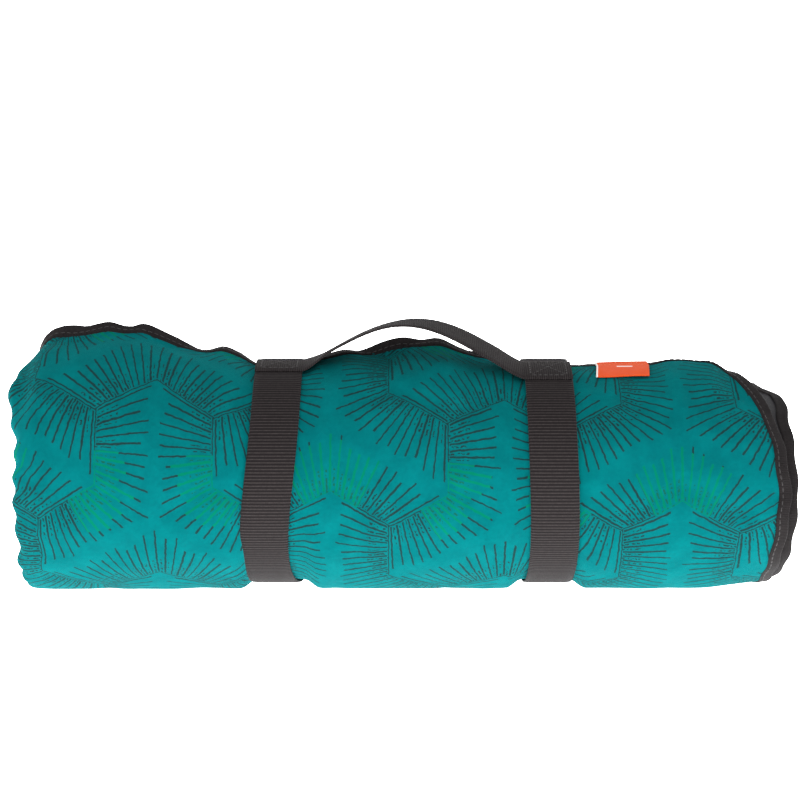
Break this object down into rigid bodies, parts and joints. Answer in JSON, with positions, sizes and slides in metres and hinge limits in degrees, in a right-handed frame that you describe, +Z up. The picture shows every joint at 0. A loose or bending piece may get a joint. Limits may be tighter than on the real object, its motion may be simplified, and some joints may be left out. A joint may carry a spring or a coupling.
{
  "type": "rolled camp blanket with carry handle",
  "caption": "Quilted picnic and camp blanket, folded and rolled, held by two webbing straps with hook and loop tails and a webbing carry handle.",
  "frame": {"origin": "centre of the bounding box in X and Y, on the surface the roll rests on", "axes": "+X along the roll, -Y the front with the outer end's carry side, +Z up"},
  "size_m": [0.4, 0.141, 0.1464],
  "materials": {
    "face_fabric": "printed plain-weave polyester with a soft sheen",
    "wadding": "lofty white polyester fibre",
    "backing": "black coated water-resistant fabric",
    "binding_tape": "black ribbed binding tape",
    "thread": "black sewing thread",
    "webbing": "black cross-ribbed webbing",
    "hook_and_loop": "black hook and loop tape",
    "label": "orange woven satin"
  },
  "bodies": {
    "blanket": {"face_sheet": "face_fabric", "wadding": "wadding", "backing_sheet": "backing", "edge_binding": "binding_tape", "binding_thread": "thread", "strap_left": "webbing", "strap_right": "webbing", "loop_patch_left": "hook_and_loop", "loop_patch_right": "hook_and_loop", "handle_end_left": "webbing", "handle_end_right": "webbing", "handle_stitching_left": "thread", "handle_stitching_right": "thread", "label_root": "label", "label_stitching": "thread"},
    "handle": {"handle_grip": "webbing"},
    "tail_left": {"strap_tail_left": "webbing", "hook_patch_left": "hook_and_loop", "tail_stitching_left": "thread"},
    "tail_right": {"strap_tail_right": "webbing", "hook_patch_right": "hook_and_loop", "tail_stitching_right": "thread"},
    "label": {"label_flap": "label"}
  },
  "joints": [
    {"name": "handle_swing", "type": "hinge", "parent": "blanket", "child": "handle", "pos_m": [0.006, -0.02493, 0.13238], "axis": [1, 0, 0], "range_deg": [-60, 60]},
    {"name": "tail_left_peel", "type": "hinge", "parent": "blanket", "child": "tail_left", "pos_m": [-0.065, 0.07033, 0.06175], "axis": [-1, 0, 0], "range_deg": [0, 120]},
    {"name": "tail_right_peel", "type": "hinge", "parent": "blanket", "child": "tail_right", "pos_m": [0.077, 0.07033, 0.06175], "axis": [-1, 0, 0], "range_deg": [0, 120]},
    {"name": "label_lift", "type": "hinge", "parent": "blanket", "child": "label", "pos_m": [0.118, -0.00928, 0.12158], "axis": [-1, 0, 0], "range_deg": [0, 150]}
  ]
}
